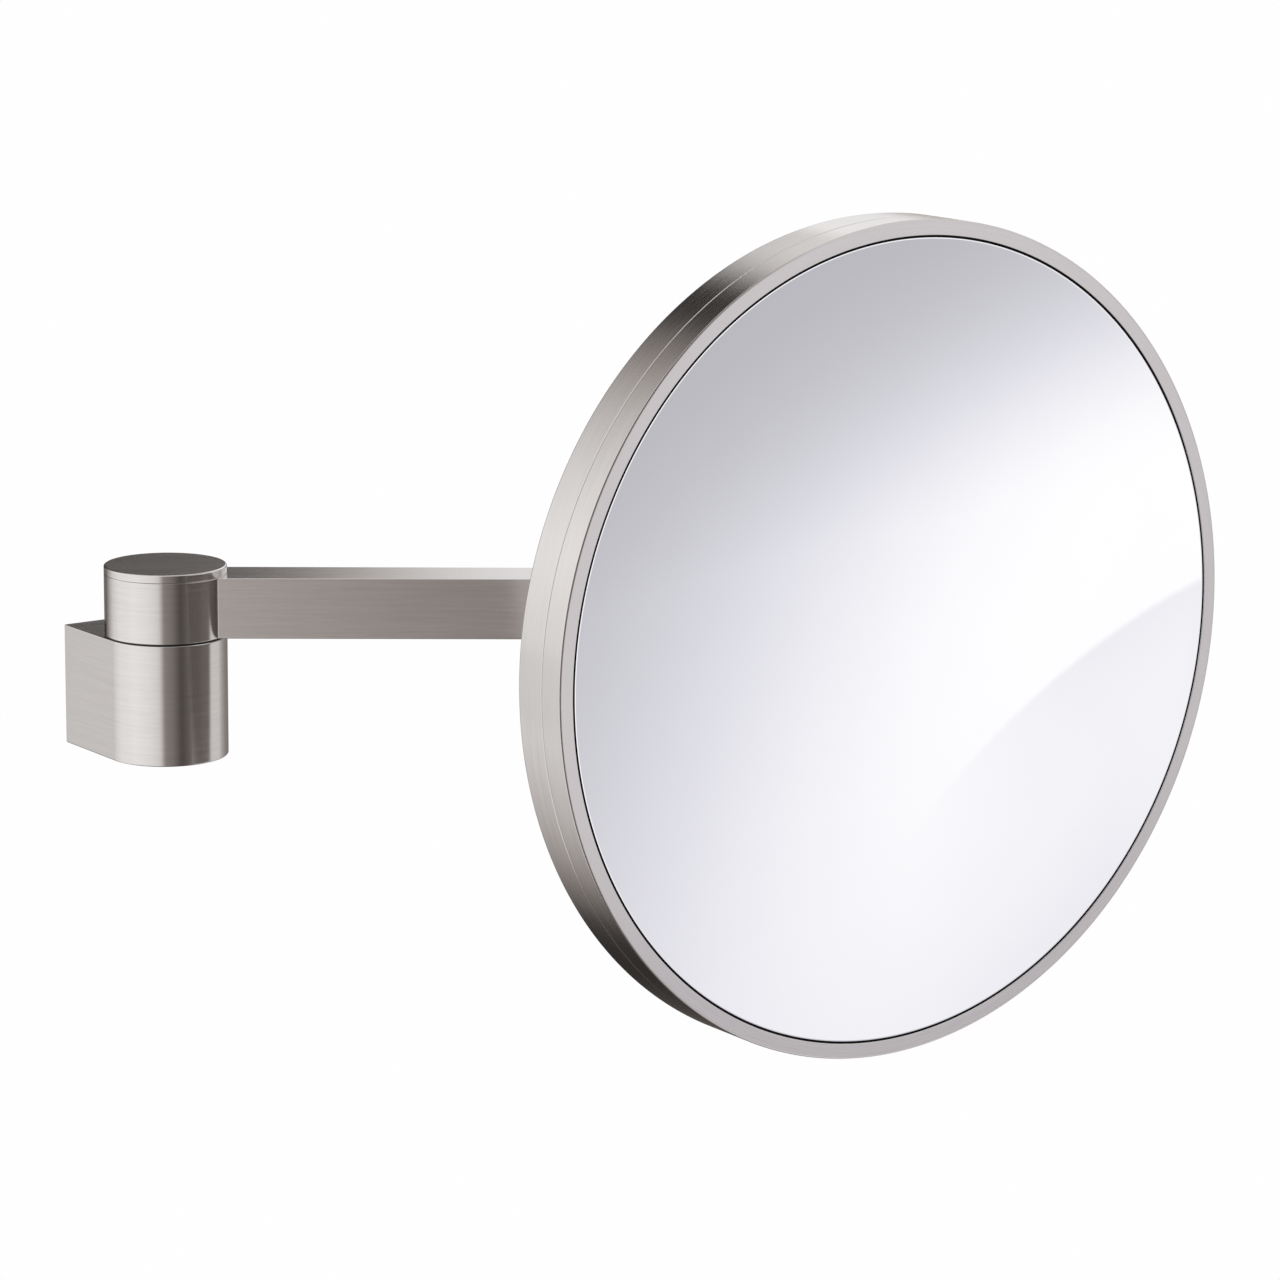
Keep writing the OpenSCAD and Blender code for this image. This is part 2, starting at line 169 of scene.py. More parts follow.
def lathe_mesh(name, profile, segs, linear=None, ring_r=None, split=None):
    """A surface of revolution about Z from a closed outline in (r, z). The grain runs round the axis,
    or, on flat faces when linear is an angle, straight across in that direction."""
    area = sum(profile[i - 1][0] * profile[i][1] - profile[i][0] * profile[i - 1][1] for i in range(len(profile)))
    if area < 0:
        profile = profile[::-1]
    n = len(profile)
    ref = ring_r or max(p[0] for p in profile)
    verts, index = [], []
    for r, z in profile:
        if r < 1e-6:
            index.append([len(verts)] * segs)
            verts.append((0, 0, z))
        else:
            index.append(list(range(len(verts), len(verts) + segs)))
            verts += [(r * math.cos(2 * math.pi * j / segs), r * math.sin(2 * math.pi * j / segs), z) for j in range(segs)]
    length = [0.0]
    for i in range(n):
        a, b = profile[i], profile[(i + 1) % n]
        length.append(length[-1] + math.hypot(b[0] - a[0], b[1] - a[1]))
    faces, brush, uv, mats = [], [], [], []
    for i in range(n):
        k = (i + 1) % n
        ra, rb = profile[i][0], profile[k][0]
        if ra < 1e-6 and rb < 1e-6:
            continue
        flat = linear is not None and abs(profile[i][1] - profile[k][1]) < 1e-6 and abs(ra - rb) > 0.5
        for j in range(segs):
            m = (j + 1) % segs
            corners = [(index[i][j], j, i), (index[i][m], j + 1, i), (index[k][m], j + 1, i + 1), (index[k][j], j, i + 1)]
            if ra < 1e-6:
                corners = [(index[i][0], j + 0.5, i), corners[2], corners[3]]
            elif rb < 1e-6:
                corners = [corners[0], corners[1], (index[k][0], j + 0.5, i + 1)]
            faces.append([c[0] for c in corners])
            for v, turn, at in corners:
                t = 2 * math.pi * turn / segs
                if flat:
                    x, y, _ = verts[v]
                    along = x * math.cos(linear) + y * math.sin(linear)
                    across = -x * math.sin(linear) + y * math.cos(linear)
                    brush.append((along, 7.0, across))
                    uv.append((along / 50, across / 50))
                else:
                    brush.append((ref * math.cos(t), ref * math.sin(t), length[at]))
                    uv.append((t * ref / 50, length[at] / 50))
            mats.append(split(profile[i], profile[k]) if split else 0)
    mesh = bpy.data.meshes.new(name)
    mesh.from_pydata(verts, [], faces)
    set_brush(mesh, brush, uv)
    mesh.polygons.foreach_set("material_index", mats)
    mesh.update()
    return mesh


def lathe(name, profile, place, segs=192, linear=None, angle=35, split=None):
    obj = new_object(name, lathe_mesh(name, profile, segs, linear, split=split))
    return tidy(obj, place, angle)


def prism(outline, z0, z1):
    bm = bmesh.new()
    low = [bm.verts.new((x, y, z0)) for x, y in outline]
    top = [bm.verts.new((x, y, z1)) for x, y in outline]
    n = len(outline)
    bm.faces.new(low[::-1])
    bm.faces.new(top)
    for i in range(n):
        k = (i + 1) % n
        bm.faces.new((low[i], low[k], top[k], top[i]))
    bmesh.ops.recalc_face_normals(bm, faces=bm.faces)
    mesh = bpy.data.meshes.new("part")
    bm.to_mesh(mesh)
    bm.free()
    return mesh


def block(x0, x1, y0, y1, z0, z1):
    return prism([(x0, y0), (x1, y0), (x1, y1), (x0, y1)], z0, z1)


def round_bar(r, z0, z1, centre=(0, 0), segs=96):
    return prism([(centre[0] + r * math.cos(2 * math.pi * k / segs), centre[1] + r * math.sin(2 * math.pi * k / segs)) for k in range(segs)], z0, z1)


def turned(mesh, matrix):
    mesh.transform(matrix)
    return mesh


ALONG_Y = Matrix.Rotation(-math.pi / 2, 4, "X")   # Z of the bar goes to +Y
ALONG_X = Matrix.Rotation(math.pi / 2, 4, "Y")    # Z of the bar goes to +X


def combine(name, base, steps):
    """base with ("UNION" or "DIFFERENCE", mesh) steps carried out one after the other."""
    obj = new_object(name, base)
    for op, mesh in steps:
        tool = new_object("tool", mesh)
        mod = obj.modifiers.new("cut", "BOOLEAN")
        mod.operation = op
        mod.solver = "EXACT"
        mod.object = tool
        apply_modifiers(obj)
        bpy.data.objects.remove(tool)
        bpy.data.meshes.remove(mesh)
    return obj


def soften(obj, width, segments=3, angle=30):
    mod = obj.modifiers.new("edges", "BEVEL")
    mod.width = width
    mod.segments = segments
    mod.limit_method = "ANGLE"
    mod.angle_limit = math.radians(angle)
    mod.use_clamp_overlap = False
    mod.miter_outer = "MITER_ARC"
    mod.loop_slide = False
    apply_modifiers(obj)
    return obj


def grain_by_face(obj, rule):
    """rule(centre, normal) gives ("flat", direction) or ("round", axis point, axis, start)."""
    mesh = obj.data
    co = np.array([v.co[:] for v in mesh.vertices])
    brush = np.zeros((len(mesh.loops), 3))
    uv = np.zeros((len(mesh.loops), 2))
    for poly in mesh.polygons:
        n = poly.normal
        kind = rule(poly.center, n)
        for li in poly.loop_indices:
            p = Vector(co[mesh.loops[li].vertex_index])
            if kind[0] == "run":
                brush[li] = kind[1](p)
                uv[li] = np.array(kind[2](p)) / 50
            elif kind[0] == "flat":
                d = (kind[1] - n * kind[1].dot(n)).normalized()
                q = n.cross(d)
                a, c = p.dot(d), p.dot(q)
                brush[li] = (a, 13.0 * round(n.x * 2) + 29.0 * round(n.y * 2) + 41.0 * round(n.z * 2), c)
                uv[li] = (a / 50, c / 50)
            else:
                _, point, axis, start = kind[:4]
                rel = p - point
                h = rel.dot(axis)
                side = axis.cross(start)
                t = math.atan2(rel.dot(side), rel.dot(start))
                mid = poly.center - point
                tm = math.atan2(mid.dot(side), mid.dot(start))
                t = tm + (t - tm + math.pi) % (2 * math.pi) - math.pi
                rad = math.hypot(mid.dot(side), mid.dot(start))
                across = h if abs(n.dot(axis)) < 0.7 else math.hypot(rel.dot(side), rel.dot(start)) + 50
                ref = kind[4] if len(kind) > 4 else rad
                brush[li] = (ref * math.cos(t), ref * math.sin(t), across)
                uv[li] = (t * ref / 50, across / 50)
    set_brush(mesh, brush, uv)
    return obj


X, Y, Z = Vector((1, 0, 0)), Vector((0, 1, 0)), Vector((0, 0, 1))
ORIGIN = Vector((0, 0, 0))


# ---------------------------------------------------------------- materials
class Tree:
    def __init__(self, tree):
        self.tree = tree

    def node(self, kind, **values):
        n = self.tree.nodes.new(kind)
        for k, v in values.items():
            setattr(n, k, v)
        return n

    def link(self, a, b):
        self.tree.links.new(a, b)

    def feed(self, socket, value):
        if isinstance(value, bpy.types.NodeSocket):
            self.link(value, socket)
        else:
            socket.default_value = value

    def math(self, op, a, b=0.0, clamp=False):
        n = self.node("ShaderNodeMath", operation=op, use_clamp=clamp)
        self.feed(n.inputs[0], a)
        self.feed(n.inputs[1], b)
        return n.outputs[0]

    def scaled(self, vector, scale):
        n = self.node("ShaderNodeVectorMath", operation="MULTIPLY")
        self.link(vector, n.inputs[0])
        n.inputs[1].default_value = scale
        return n.outputs[0]

    def noise(self, vector, scale=1.0, detail=2.0, rough=0.5, distortion=0.0):
        n = self.node("ShaderNodeTexNoise")
        self.link(vector, n.inputs["Vector"])
        n.inputs["Scale"].default_value = scale
        n.inputs["Detail"].default_value = detail
        n.inputs["Roughness"].default_value = rough
        n.inputs["Distortion"].default_value = distortion
        return n.outputs[0]

    def smooth(self, value, a, b, low=0.0, high=1.0):
        n = self.node("ShaderNodeMapRange", interpolation_type="SMOOTHSTEP")
        self.feed(n.inputs["Value"], value)
        n.inputs["From Min"].default_value = a
        n.inputs["From Max"].default_value = b
        n.inputs["To Min"].default_value = low
        n.inputs["To Max"].default_value = high
        return n.outputs[0]

    def linear(self, value, a, b, low=0.0, high=1.0, clamp=True):
        n = self.node("ShaderNodeMapRange", interpolation_type="LINEAR", clamp=clamp)
        self.feed(n.inputs["Value"], value)
        n.inputs["From Min"].default_value = a
        n.inputs["From Max"].default_value = b
        n.inputs["To Min"].default_value = low
        n.inputs["To Max"].default_value = high
        return n.outputs[0]

    def mix(self, fac, a, b):
        n = self.node("ShaderNodeMix", data_type="FLOAT", clamp_factor=True)
        self.feed(n.inputs[0], fac)
        self.feed(n.inputs[2], a)
        self.feed(n.inputs[3], b)
        return n.outputs[0]

    def tint(self, fac, a, b):
        n = self.node("ShaderNodeMix", data_type="RGBA", clamp_factor=True)
        self.feed(n.inputs[0], fac)
        self.feed(n.inputs[6], (*a, 1))
        self.feed(n.inputs[7], (*b, 1))
        return n.outputs[2]

    def ramp(self, value, stops, mode="LINEAR"):
        n = self.node("ShaderNodeValToRGB")
        n.color_ramp.interpolation = mode
        els = n.color_ramp.elements
        while len(els) > 1:
            els.remove(els[-1])
        els[0].position = stops[0][0]
        els[0].color = (stops[0][1],) * 3 + (1,)
        for pos, v in stops[1:]:
            e = els.new(pos)
            e.color = (v, v, v, 1)
        self.link(value, n.inputs[0])
        return n.outputs[0]


def material(name):
    mat = bpy.data.materials.new(name)
    mat.use_nodes = True
    mat.node_tree.nodes.clear()
    t = Tree(mat.node_tree)
    out = t.node("ShaderNodeOutputMaterial")
    bsdf = t.node("ShaderNodeBsdfPrincipled")
    t.link(bsdf.outputs[0], out.inputs[0])
    return mat, t, bsdf


def brushed_metal(name, dark, light, rough, spread, streak=1.0, bump=1.0):
    """Metal with fine directional brushing that follows the 'brush' coordinates, in millimetres."""
    mat, t, bsdf = material(name)
    grain = t.node("ShaderNodeAttribute", attribute_name="brush").outputs["Vector"]
    fine = t.noise(t.scaled(grain, (0.16, 0.16, 6.0)), detail=3, rough=0.6)
    lines = t.noise(t.scaled(grain, (0.045, 0.045, 1.9)), detail=2, rough=0.55)
    broad = t.noise(t.scaled(grain, (0.012, 0.012, 0.32)), detail=1)
    mixed = t.math("ADD", t.math("MULTIPLY", fine, 0.45), t.math("ADD", t.math("MULTIPLY", lines, 0.4), t.math("MULTIPLY", broad, 0.15)))
    bsdf.inputs["Metallic"].default_value = 1
    bsdf.inputs["Anisotropic"].default_value = spread
    bsdf.inputs["Anisotropic Rotation"].default_value = 0.25
    t.link(t.tint(t.smooth(mixed, 0.5 - 0.2 / streak, 0.5 + 0.2 / streak), dark, light), bsdf.inputs["Base Color"])
    t.link(t.linear(mixed, 0.3, 0.7, rough * 0.86, rough * 1.16), bsdf.inputs["Roughness"])
    b = t.node("ShaderNodeBump")
    b.inputs["Strength"].default_value = 1.0
    b.inputs["Distance"].default_value = 0.0000045 * bump
    t.link(t.math("ADD", t.math("MULTIPLY", fine, 0.6), t.math("MULTIPLY", lines, 1.0)), b.inputs["Height"])
    t.link(b.outputs[0], bsdf.inputs["Normal"])
    tan = t.node("ShaderNodeTangent", direction_type="UV_MAP", uv_map="grain")
    t.link(tan.outputs[0], bsdf.inputs["Tangent"])
    return mat


def spotted(name, dark, light, scale, metallic, rough, rough_spread=0.08, bump=0.0, specular=0.5):
    """A plain finish with faint, fine variation, in the object's own coordinates."""
    mat, t, bsdf = material(name)
    where = t.node("ShaderNodeTexCoord").outputs["Object"]
    a = t.noise(where, scale=scale, detail=4, rough=0.6)
    t.link(t.tint(t.smooth(a, 0.35, 0.65), dark, light), bsdf.inputs["Base Color"])
    t.link(t.linear(a, 0.3, 0.7, rough - rough_spread / 2, rough + rough_spread / 2), bsdf.inputs["Roughness"])
    bsdf.inputs["Metallic"].default_value = metallic
    bsdf.inputs["Specular IOR Level"].default_value = specular
    if bump:
        b = t.node("ShaderNodeBump")
        b.inputs["Strength"].default_value = 1.0
        b.inputs["Distance"].default_value = bump
        t.link(a, b.inputs["Height"])
        t.link(b.outputs[0], bsdf.inputs["Normal"])
    return mat


nickel = brushed_metal("brushed_nickel", (0.612, 0.585, 0.573), (0.666, 0.640, 0.628), 0.18, 0.72, bump=0.75)
nickel_rim = brushed_metal("brushed_nickel_rim", (0.605, 0.580, 0.568), (0.665, 0.640, 0.628), 0.30, 0.75, bump=0.6)
steel = spotted("steel", (0.50, 0.50, 0.50), (0.60, 0.60, 0.59), 900, 1, 0.28, 0.12, 0.000002)
bronze = spotted("bronze", (0.48, 0.31, 0.15), (0.58, 0.40, 0.21), 700, 1, 0.38, 0.12, 0.000003)
black_plastic = spotted("black_plastic", (0.012, 0.012, 0.013), (0.02, 0.02, 0.021), 1500, 0, 0.5, 0.1, 0.000004)
black_rubber = spotted("black_rubber", (0.003, 0.003, 0.0035), (0.006, 0.006, 0.006), 1800, 0, 0.8, 0.1, 0.000006, 0.12)
mirror = spotted("mirror", (0.935, 0.94, 0.945), (0.94, 0.945, 0.95), 60, 1, 0.004, 0.002)
glass_edge = spotted("glass_edge", (0.80, 0.84, 0.83), (0.90, 0.93, 0.92), 1200, 0, 0.32, 0.1, 0.000002)

by_slot = {"brushed_nickel": nickel, "steel": steel, "bronze": bronze, "black_plastic": black_plastic,
           "black_rubber": black_rubber, "mirror": mirror}
for name, obj in frame["nodes"].items():
    packed = obj.data.materials[0].name if obj.data.materials else "steel"
    mat = next((m for s, m in by_slot.items() if packed.startswith(s)), steel)
    if mat in (nickel, mirror):
        mat = steel
    obj.data.materials.clear()
    obj.data.materials.append(mat)


def piece(obj, body, node, slot_name, *mats):
    obj.data.materials.clear()
    for m in mats or (by_slot[slot_name],):
        obj.data.materials.append(m)
    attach(obj, body)
    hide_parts(node)
    return obj


# ---------------------------------------------------------------- wall bracket
def bracket_rule(c, n):
    if abs(n.z) > 0.7:
        return ("flat", X)
    if c.y < 0.02 and math.hypot(c.x, c.y) > HUB_R - 1:
        return ("round", ORIGIN, Z, -Y, HUB_R)
    if abs(n.x) > 0.7 and abs(c.x) > HUB_R - 1:
        return ("run", lambda p: (-p.y, math.copysign(HUB_R, c.x), p.z + 0.0), lambda p: (p.y, p.z))
    return ("flat", Y if abs(n.x) > 0.7 else X)


pocket = 2 * HUB_R - 4.4
wall_y = -P0.y
steps_d = 96
outline = [(-HUB_R, wall_y)] + [
    (-HUB_R * math.cos(math.pi * k / steps_d), -HUB_R * math.sin(math.pi * k / steps_d)) for k in range(steps_d + 1)] + [(HUB_R, wall_y)]
housing = combine("look_bracket_housing", prism(outline, -ZB, ZB), [
    ("DIFFERENCE", block(-pocket / 2, pocket / 2, wall_y - 14, wall_y + 1, -pocket / 2, pocket / 2)),
    ("DIFFERENCE", round_bar(5.02, -9, ZB + 1)),
    ("DIFFERENCE", round_bar(2.6, -ZB - 1, -8)),
    ("DIFFERENCE", round_bar(4.62, -ZB - 1, -ZB + 0.5)),
    ("DIFFERENCE", round_bar(2.02, -ZB - 1, -ZB + 5, (0, wall_y - 8), 48)),
])
soften(housing, 0.34)
grain_by_face(housing, bracket_rule)
tidy(housing, POST)
piece(housing, "wall_bracket", "bracket_housing", "brushed_nickel")

# ---------------------------------------------------------------- arm
FLOOR = Z0 + 8.5
hub = lathe("look_wall_hub", rounded([
    (7, Z0), (HUB_R, Z0, 0.2), (HUB_R, Z1, 0.22), (11, Z1), (11, FLOOR), (7, FLOOR)]), ON_ARM)
piece(hub, "arm", "wall_hub", "brushed_nickel")


def cap_profile(z, up, spigot, depth, hollow, hollow_h):
    top = z + up * (Z2 - Z1)
    return rounded([
        (0, z + up * hollow_h), (hollow, z + up * hollow_h), (hollow, z - up * depth), (spigot, z - up * depth),
        (spigot, z), (HUB_R, z, 0.2), (HUB_R, top, 0.38), (0, top)])


cap = lathe("look_hub_cap", cap_profile(Z1, 1, 10.98, 1.6, 9.6, 0.6), ON_ARM, linear=0.0)
piece(cap, "arm", "hub_cap", "brushed_nickel")

h = ARM_W / 2
start = math.sqrt(HUB_R ** 2 - h ** 2) - 0.2
tube = combine("look_arm_tube", block(start, ARM_LEN - start, -h, h, ARM_Z - h, ARM_Z + h), [
    ("DIFFERENCE", block(0, ARM_LEN, -h + ARM_T, h - ARM_T, ARM_Z - h + ARM_T, ARM_Z + h - ARM_T)),
    ("DIFFERENCE", round_bar(HUB_R + 0.03, Z0 - 1, Z1 + 1, (0, 0), 256)),
    ("DIFFERENCE", round_bar(HUB_R + 0.03, Z0 - 1, Z1 + 1, (ARM_LEN, 0), 256)),
    ("DIFFERENCE", round_bar(2.05, Z0 - 1, Z0 + 3, (23, 0), 48)),
    ("DIFFERENCE", round_bar(2.05, Z0 - 1, Z0 + 3, (ARM_LEN - 23, 0), 48)),
])
soften(tube, 0.28)
grain_by_face(tube, lambda c, n: ("flat", X if abs(n.x) < 0.7 else Y))
tidy(tube, ON_ARM)
piece(tube, "arm", "arm_tube", "brushed_nickel")

swing = math.radians(105.6)
notch = -7.6 / math.sin(swing)
nx = notch - 14 * math.cos(swing - math.radians(60))
ny = 14 * math.sin(swing - math.radians(60)) + 14
fork = combine("look_end_fork", lathe_mesh("fork", rounded([
    (4.02, Z0 + 3.6), (8, Z0 + 3.6), (8, Z0), (HUB_R, Z0, 0.16), (HUB_R, Z1, 0.16), (6.5, Z1), (6.5, Z1 - 1.8), (4.02, Z1 - 1.8)]), 192), [
    ("DIFFERENCE", prism([(notch, 0), (nx, -ny), (-10, -30), (30, -30), (30, 30), (-10, 30), (nx, ny)], HEAD_Z - 3, HEAD_Z + 3)),
])
soften(fork, 0.18, 2, 40)
grain_by_face(fork, lambda c, n: ("round", ORIGIN, Z, X, HUB_R) if abs(n.z) < 0.7 else ("flat", X))
tidy(fork, FORK)
piece(fork, "arm", "end_fork", "brushed_nickel")

cap_top = lathe("look_fork_cap_top", cap_profile(Z1, 1, 6.48, 0.6, 5.6, 1), FORK, linear=0.0)
piece(cap_top, "arm", "fork_cap_top", "brushed_nickel")
cap_low = lathe("look_fork_cap_bottom", cap_profile(Z0, -1, 7.98, 0.8, 7, 1), FORK, linear=0.0)
piece(cap_low, "arm", "fork_cap_bottom", "brushed_nickel")

# ---------------------------------------------------------------- neck
tilt_max = math.radians(25)
tip = (7.9 - h * math.sin(tilt_max)) / math.cos(tilt_max)
nose = [(-8.5, -h), (tip, -h)] + [(7.9 * math.cos(a), 7.9 * math.sin(a)) for a in np.linspace(-tilt_max, tilt_max, 13)] + [(tip, h), (-8.5, h)]
# the outline is drawn in X and Z and stands along Y
knuckle = turned(prism([(x, -z) for x, z in nose], -3, 3), shift(NECK_LEN, 0, 0) @ ALONG_Y)
neck = combine("look_neck", block(HUB_R + 1, NECK_LEN - 7.9, -h, h, -h, h), [
    ("UNION", round_bar(7.5, -2.5, 2.5)),
    ("UNION", block(0, 17, -7.5, 7.5, -2.5, 2.5)),
    ("UNION", knuckle),
    ("DIFFERENCE", round_bar(5.52, -10, 10)),
    ("DIFFERENCE", turned(round_bar(3.05, -12, 12), shift(NECK_LEN, 0, 0) @ ALONG_Y)),
])
soften(neck, 0.22)
grain_by_face(neck, lambda c, n: ("flat", X if abs(n.x) < 0.75 else Y))
tidy(neck, NECK)
piece(neck, "neck", "neck", "brushed_nickel")

# ---------------------------------------------------------------- mirror head
ears = [(-h * math.cos(a), -h * math.sin(a)) for a in np.linspace(math.pi / 2, -math.pi / 2, 65)]
ears = [(BACK - 2, h)] + [(x, -z) for x, z in ears] + [(BACK - 2, -h)]
bracket = combine("look_head_bracket", turned(prism([(x, -z) for x, z in ears], -h, h), ALONG_Y), [
    ("UNION", turned(round_bar(22, BACK - 3, BACK, segs=192), ALONG_X)),
    ("DIFFERENCE", block(-h - 1, 8.0, -3.5, 3.5, -h - 3, h + 3)),
    ("DIFFERENCE", turned(round_bar(3.02, -20, 20), ALONG_Y)),
    ("DIFFERENCE", turned(round_bar(4.82, h - 1.3, h + 1), ALONG_Y)),
    ("DIFFERENCE", turned(round_bar(4.82, -h - 1, -h + 1.3), ALONG_Y)),
] + [("DIFFERENCE", turned(lathe_mesh("csk", [(0, -4), (3.75, -4), (3.75, -2.7), (2.05, -1.0), (2.05, 1), (0, 1)], 64),
                           shift(BACK, 0, 0) @ Matrix.Rotation(math.pi / 2, 4, "Y") @ Matrix.Rotation(math.radians(a), 4, "Z") @ shift(17, 0, 0)))
     for a in (45, 135, 225, 315)])
soften(bracket, 0.22)


def bracket_grain(c, n):
    if c.x > BACK - 3.3 and (abs(n.x) > 0.7 or math.hypot(c.y, c.z) > 20):
        return ("round", ORIGIN, X, Y, 22)
    return ("flat", X if abs(n.x) < 0.75 else Z)


grain_by_face(bracket, bracket_grain)
tidy(bracket, TILT)
piece(bracket, "mirror_head", "head_bracket", "brushed_nickel")

shell = combine("look_rear_shell", lathe_mesh("shell", rounded([
    (0, 0), (HEAD_R, 0, 0.6), (HEAD_R, SEAM, 0.25), (HEAD_R - 1.2, SEAM), (HEAD_R - 1.2, 1.2), (0, 1.2)], 5), 360), [
    ("DIFFERENCE", round_bar(2.05, -1, 3, (17 * math.cos(math.radians(a)), 17 * math.sin(math.radians(a))), 48)) for a in (45, 135, 225, 315)])
tidy(shell, HEAD)
piece(shell, "mirror_head", "rear_shell", "brushed_nickel")

outer = [(HEAD_R - 0.55 + 0.55 * math.cos(a), HEAD_T - 0.26 + 0.26 * math.sin(a)) for a in np.linspace(0, math.pi / 2, 9)]
inner = [(IN_R + 0.16 - 0.16 * math.sin(a), HEAD_T - 0.16 + 0.16 * math.cos(a)) for a in np.linspace(0, math.pi / 2, 6)]
ring = lathe("look_front_ring", rounded([
    (HEAD_R - 1.2, HEAD_T - 1.2), (HEAD_R - 1.2, SEAM), (HEAD_R - 0.55, SEAM), (HEAD_R - 0.55, SEAM + 0.08),
    (HEAD_R, SEAM + 0.08, 0.2), (HEAD_R, HEAD_T - 1)], 5)[:-1]
             + outer + inner + [(IN_R, HEAD_T - 1.2)],
             HEAD, segs=360, split=lambda a, b: 1 if min(a[1], b[1]) > HEAD_T - 0.01 else 0)
piece(ring, "mirror_head", "front_ring", "brushed_nickel", nickel, nickel_rim)

face_r = GLASS_RIM - ARRIS
sph_z = LAND + math.sqrt(GLASS_R ** 2 - face_r ** 2)
back_r = GLASS_R + 3
glass_profile = [(r, sph_z - math.sqrt(back_r ** 2 - r * r)) for r in np.linspace(0, GLASS_RIM, 25)]
glass_profile += [(GLASS_RIM, LAND)]
glass_profile += [(r, sph_z - math.sqrt(GLASS_R ** 2 - r * r)) for r in np.linspace(face_r, 0, 97)]
glass_profile = [(float(r), float(z)) for r, z in glass_profile]


def glass_split(a, b):
    front = a[0] <= face_r + 1e-4 and b[0] <= face_r + 1e-4 and a[1] > sph_z - math.sqrt(GLASS_R ** 2 - a[0] ** 2) - 0.01
    return 0 if front else 1


glass = lathe("look_mirror_glass", glass_profile, HEAD, segs=360, angle=5, split=glass_split)
piece(glass, "mirror_head", "mirror_glass", "mirror", mirror, glass_edge)

gasket = lathe("look_glass_gasket", [
    (GLASS_RIM + 0.03, LAND - 3), (IN_R + 0.07, LAND - 3), (IN_R + 0.07, HEAD_T - 1.28), (IN_R - 0.03, HEAD_T - 1.28),
    (IN_R - 0.03, LAND - 0.04), (GLASS_RIM + 0.03, LAND - 0.04)], HEAD, segs=360)
piece(gasket, "mirror_head", "glass_gasket", "black_rubber")

# ---------------------------------------------------------------- studio
world = bpy.data.worlds.new("studio")
scene.world = world
world.use_nodes = True
world.node_tree.nodes.clear()
t = Tree(world.node_tree)
out = t.node("ShaderNodeOutputWorld")
bg = t.node("ShaderNodeBackground")
white = t.node("ShaderNodeBackground")
white.inputs[0].default_value = (1, 0.993, 1, 1)
white.inputs[1].default_value = 1.0
pick = t.node("ShaderNodeMixShader")
t.link(t.node("ShaderNodeLightPath").outputs["Is Camera Ray"], pick.inputs[0])
t.link(bg.outputs[0], pick.inputs[1])
t.link(white.outputs[0], pick.inputs[2])
t.link(pick.outputs[0], out.inputs[0])

sep = t.node("ShaderNodeSeparateXYZ")
t.link(t.node("ShaderNodeTexCoord").outputs["Generated"], sep.inputs[0])
DEG = 180 / math.pi
el = t.math("MULTIPLY", t.math("ARCSINE", sep.outputs[2]), DEG)
az = t.math("MULTIPLY", t.math("ARCTAN2", sep.outputs[0], t.math("MULTIPLY", sep.outputs[1], -1)), DEG)
turn = t.linear(az, -180, 180)


def belt(points):
    return t.ramp(turn, [((a + 180) / 360, v / 2) for a, v in points])


# brightness of the studio all round, in degrees from straight ahead: a wide soft light on the left,
# a darker gap in front, a second light on the right and one behind the object on the right
left = [(-180, .12), (-172, .24), (-160, .56), (-150, .84), (-142, 1.15), (-120, 1.12), (-93, 1.2), (-66, 1.1), (-52, 1.0)]
front = [(-44, .90), (-40.5, .70), (-37.5, .49), (-35.2, .30), (-31, .29), (-20, .24), (-4, .09), (4, .12), (14, .17), (24, .50), (31, .84), (40, .95)]
side = [(60, .85), (84, .82), (95, .52), (108, .32), (127, .22), (140, .24), (150, .14), (160, .07), (172, .07), (180, .12)]
base = belt(left + front + side)
lift = t.math("MULTIPLY", t.smooth(az, 144, 150), t.smooth(t.math("ABSOLUTE", t.math("ADD", el, 12)), 16, 8))
v = t.mix(t.math("MULTIPLY", lift, 0.5), base, 0.14)
v = t.math("MULTIPLY", v, t.math("SUBTRACT", 1.0, t.math("MULTIPLY", t.math("MULTIPLY", t.smooth(az, 143, 149), t.smooth(el, -2, 6)), 0.6)))
v = t.mix(t.smooth(el, 52, 70), v, 0.50)
v = t.mix(t.smooth(el, -44, -60), v, 0.06)
v = t.math("MULTIPLY", v, 2.0)
soft = t.math("MULTIPLY", t.math("MULTIPLY", t.smooth(az, -151, -143), t.smooth(az, -124, -141)), t.smooth(t.math("ABSOLUTE", t.math("ADD", el, 12.5)), 9, 4))
v = t.math("MULTIPLY", v, t.math("SUBTRACT", 1.0, t.math("MULTIPLY", soft, 0.15)))
low = t.math("MULTIPLY", t.smooth(el, -16, -27), t.smooth(az, 136, 146))
v = t.math("MULTIPLY", v, t.math("SUBTRACT", 1.0, t.math("MULTIPLY", low, 0.55)))
edge = t.math("SUBTRACT", az, t.math("MULTIPLY", t.math("MAXIMUM", t.math("SUBTRACT", el, 22), 0), 1.05))
rear = t.math("MULTIPLY", t.math("MULTIPLY", t.smooth(edge, 148.8, 144.4), t.smooth(az, 92, 106)),
              t.math("MULTIPLY", t.smooth(el, 1, 7), t.smooth(el, 56, 40)))
v = t.mix(rear, v, t.smooth(el, 16, 26, 1.04, 1.26))
boost = t.math("MULTIPLY", t.smooth(az, -125, -140), t.smooth(el, -4, 12))
v = t.math("MULTIPLY", v, t.math("ADD", 1.0, t.math("MULTIPLY", boost, 0.16)))

